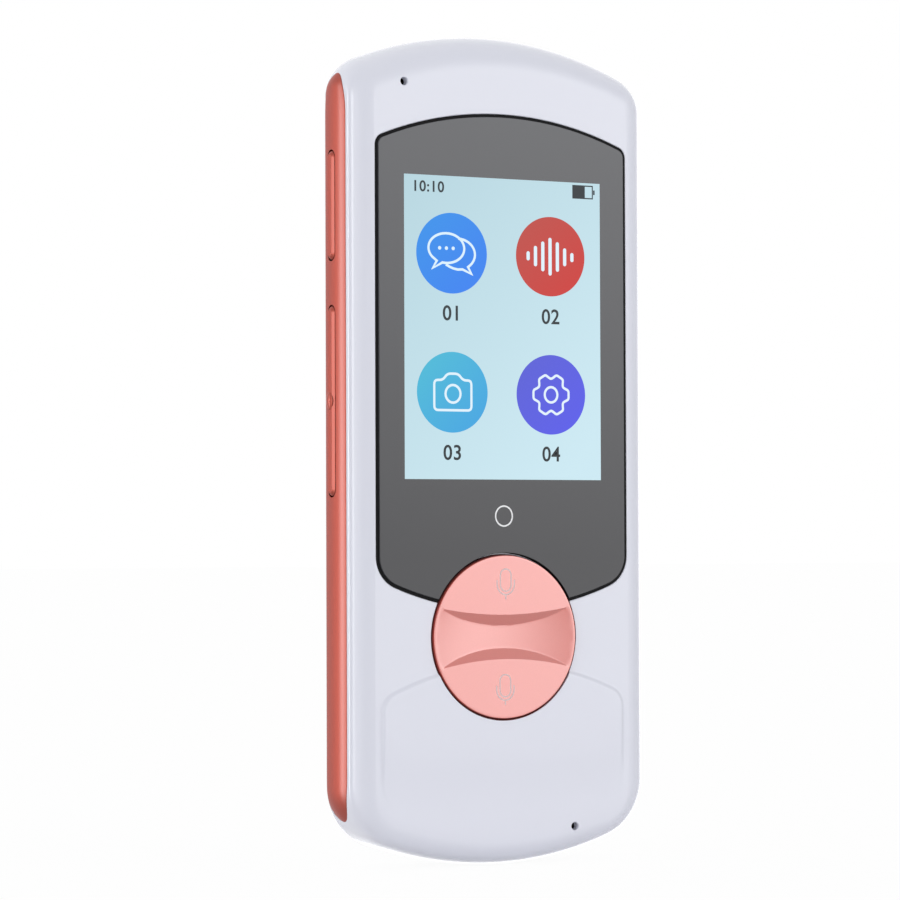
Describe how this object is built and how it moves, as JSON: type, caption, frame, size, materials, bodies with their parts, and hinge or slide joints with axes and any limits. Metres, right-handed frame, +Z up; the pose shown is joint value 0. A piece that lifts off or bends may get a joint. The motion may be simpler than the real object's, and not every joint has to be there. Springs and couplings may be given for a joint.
{
  "type": "handheld translator",
  "caption": "Slim handheld voice translator with a glass touch screen, a round rocking dial below it, side keys in a metal trim, and a rear camera and speaker.",
  "frame": {"origin": "middle of the base: centre of the bounding box, at its lowest height", "axes": "+Z up along the body, +X to the right as seen from the screen side, -Y out of the screen, +Y out of the back"},
  "size_m": [0.0558, 0.013, 0.1352],
  "materials": {
    "white_gloss": "glossy",
    "rose_metal": "satin",
    "rose_plastic": "satin",
    "cover_glass": "glossy",
    "display_glass": "glossy",
    "black_rubber": "matte",
    "black_plastic": "matte",
    "black_gloss": "glossy",
    "clear_plastic": "glossy",
    "led_yellow": "matte",
    "white_film": "matte",
    "flex_film": "satin",
    "board_green": "satin",
    "steel": "brushed",
    "gold_contact": "polished",
    "battery_foil": "satin"
  },
  "bodies": {
    "casing": {"front_shell": "white_gloss", "back_cover": "white_gloss", "left_trim": "rose_metal", "right_trim": "rose_metal", "cover_glass": "cover_glass", "glass_gasket": "black_rubber", "display_panel": "display_glass", "backlight_tray": "white_film", "display_flex": "flex_film", "display_connector": "black_plastic", "home_pad": "gold_contact", "mid_frame": "black_plastic", "main_board": "board_green", "board_screws": "steel", "processor_shield": "steel", "radio_shield": "steel", "battery": "battery_foil", "battery_tape": "black_rubber", "battery_lead": "flex_film", "battery_socket": "black_plastic", "speaker": "black_plastic", "speaker_gasket": "black_rubber", "speaker_mesh": "steel", "speaker_contacts": "gold_contact", "rear_camera": "black_plastic", "camera_ring": "rose_metal", "camera_window": "black_gloss", "flash_light_guide": "clear_plastic", "flash_led": "led_yellow", "microphones": "gold_contact", "microphone_boots": "black_rubber", "usb_port": "steel", "wifi_antenna": "flex_film", "antenna_contact": "gold_contact", "dial_pivot_pin": "steel", "dial_switches": "steel", "volume_pivot_pin": "steel", "side_switches": "steel", "side_key_flex": "flex_film", "key_connector": "black_plastic"},
    "dial": {"language_dial": "rose_plastic"},
    "power_button": {"power_key": "rose_metal"},
    "volume_rocker": {"volume_key": "rose_metal"}
  },
  "joints": [
    {"name": "dial_rock", "type": "hinge", "parent": "casing", "child": "dial", "pos_m": [0, -0.0042, 0.037], "axis": [1, 0, 0], "range_deg": [-2, 2], "stiffness_Nm_per_rad": 0.4},
    {"name": "power_press", "type": "slide", "parent": "casing", "child": "power_button", "axis": [1, 0, 0], "range_m": [0, 0.0004], "stiffness_N_per_m": 4000},
    {"name": "volume_rock", "type": "hinge", "parent": "casing", "child": "volume_rocker", "pos_m": [-0.0259, 0.001, 0.0751], "axis": [0, 1, 0], "range_deg": [-1.4, 1.4], "stiffness_Nm_per_rad": 0.6}
  ]
}
